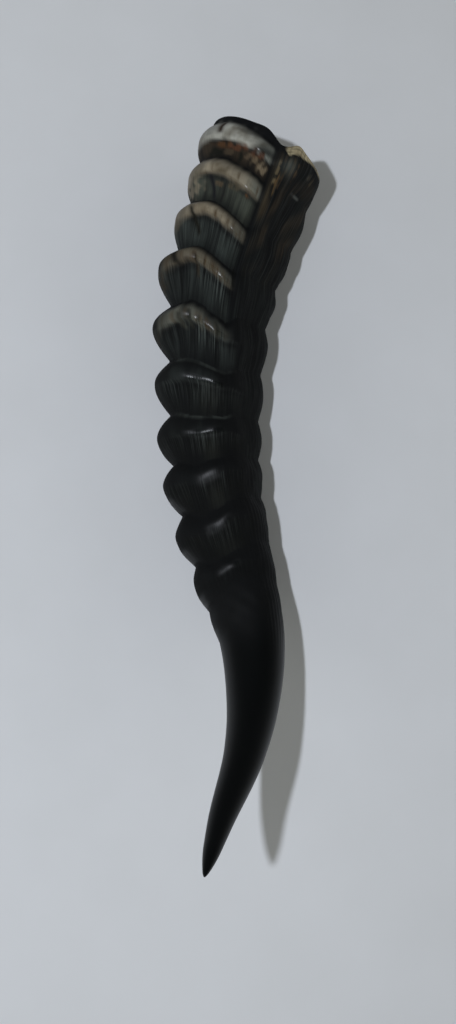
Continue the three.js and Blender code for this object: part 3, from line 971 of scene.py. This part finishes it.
# Raw keratin inside the hollow: unpolished, matt brown-grey with lengthwise grooves where the bone core sat.
rawWall = {
    "grooveWidth": 2.5,  # mm
    "grooveLength": 60,  # mm
    "grooveBump": 0.0004,  # m
    "dark": "#2b241c",
    "light": "#6a5d4a",
    "roughness": 0.75,
}
rawKeratin, tree = newMaterial("raw_horn_keratin")
grooves = grain(tree, rawWall["grooveWidth"], rawWall["grooveLength"], detail=4.0, roughness=0.6)
addSurface(tree, {
    "Base Color": mixColours(tree, grooves, rgba(rawWall["dark"]), rgba(rawWall["light"])),
    "Roughness": rawWall["roughness"],
    "Normal": relief(tree, grooves, rawWall["grooveBump"]),
    "IOR": 1.55,
})

sheath.data.materials.append(keratin)
sheath.data.materials.append(rawKeratin)
hollowFaces = horn["columns"] * (1 + int((rowKinds == 0).sum()))  # the end fan and the rows up to the rim
faceMaterials = np.zeros(len(sheath.data.polygons), np.int32)
faceMaterials[:hollowFaces] = 1
sheath.data.polygons.foreach_set("material_index", faceMaterials)
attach(sheath, "root")
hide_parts("horn")
print("keratin on", len(faceMaterials), "faces,", int(hollowFaces), "of them raw")

# The table: a plain white cotton cloth, matt, with a faint unevenness.
table = {
    "side": 3.0,  # m
    "light": "#e4e6e9",
    "shade": "#dcdee0",
    "patch": 40,  # mm
}
floorMesh = bpy.data.meshes.new("table")
half = table["side"] / 2
corners = [(-half, -half, 0), (half, -half, 0), (half, half, 0), (-half, half, 0)]
floorMesh.from_pydata(corners, [], [(0, 1, 2, 3)])
floor = bpy.data.objects.new("table", floorMesh)
bpy.context.scene.collection.objects.link(floor)
cotton, tree = newMaterial("white_cotton_cloth")
place = addNode(tree, "TexCoord")
clothPatches = addNode(tree, "TexNoise", {
    "Vector": place.outputs["Object"], "Scale": 1000 / table["patch"], "Detail": 4.0})
clothColour = mixColours(tree, clothPatches.outputs["Fac"], rgba(table["shade"]), rgba(table["light"]))
addSurface(tree, {"Base Color": clothColour, "Roughness": 0.95, "Specular IOR Level": 0.1})
floorMesh.materials.append(cotton)

# Light: one small lamp high on the left, and a room that is bright low down at the sides and in front and dim
# overhead and beyond the base. In reflections the room is dimmed to a tenth.
lamp = {
    "place": (-0.388, -0.217, 1.336),  # m
    "aim": (-0.13, 0.0, 0),
    "size": 0.055,  # m
    "cone": 50,  # degrees
    "power": 36,  # W
    "colour": (0.956, 1.0, 1.09),
}
room = {"overhead": 0.08, "sides": 1.35, "beyond": 0.3, "mirrored": 0.1, "colour": (0.99, 1.0, 0.95)}


# Puts a light in place and turns it to what it lights.
def aimLight(light, name, place, aim):
    lightObject = bpy.data.objects.new(name, light)
    lightObject.location = place
    lightObject.rotation_euler = (Vector(aim) - Vector(place)).to_track_quat("-Z", "Y").to_euler()
    bpy.context.scene.collection.objects.link(lightObject)


lampLight = bpy.data.lights.new("lamp", "SPOT")
lampLight.energy = lamp["power"]
lampLight.color = lamp["colour"]
lampLight.shadow_soft_size = lamp["size"] / 2
lampLight.spot_size = math.radians(lamp["cone"])
lampLight.spot_blend = 1.0
aimLight(lampLight, "lamp", lamp["place"], lamp["aim"])

world = bpy.data.worlds.new("room")
world.use_nodes = True
world.node_tree.nodes.clear()
tree = world.node_tree
heading = addNode(tree, "TexCoord")
towards = addNode(tree, "SeparateXYZ", {0: heading.outputs["Generated"]})
lowDown = remap(tree, towards.outputs["Z"], 0.15, 0.75, room["sides"], room["overhead"], "SMOOTHSTEP")
nearSide = remap(tree, towards.outputs["Y"], 0.1, 0.7, 1.0, room["beyond"], "SMOOTHSTEP")
rays = addNode(tree, "LightPath")
mirrored = remap(tree, rays.outputs["Is Glossy Ray"], 0.0, 1.0, 1.0, room["mirrored"])
strength = combine(tree, combine(tree, lowDown, nearSide), mirrored)
glow = addNode(tree, "Background", {"Color": (*room["colour"], 1), "Strength": strength})
addNode(tree, "OutputWorld", {"Surface": glow.outputs[0]})
bpy.context.scene.world = world
bpy.context.scene.view_settings.view_transform = "Standard"
print("table and light set")

# Camera: almost straight down, 78 degrees above the table, from 0.72 m.
camera = {"target": (-0.0039, -0.0079, 0), "distance": 0.72, "elevation": 78, "lens": 56.64, "sensor": 36}
cameraData = bpy.data.cameras.new("camera")
cameraData.lens = camera["lens"]
cameraData.sensor_fit = "VERTICAL"
cameraData.sensor_height = camera["sensor"]
cameraObject = bpy.data.objects.new("camera", cameraData)
tilt = math.radians(camera["elevation"])
upwards = Vector((0, -math.cos(tilt), math.sin(tilt)))
cameraObject.location = Vector(camera["target"]) + camera["distance"] * upwards
cameraObject.rotation_euler = (math.pi / 2 - tilt, 0, 0)
bpy.context.scene.collection.objects.link(cameraObject)
bpy.context.scene.camera = cameraObject
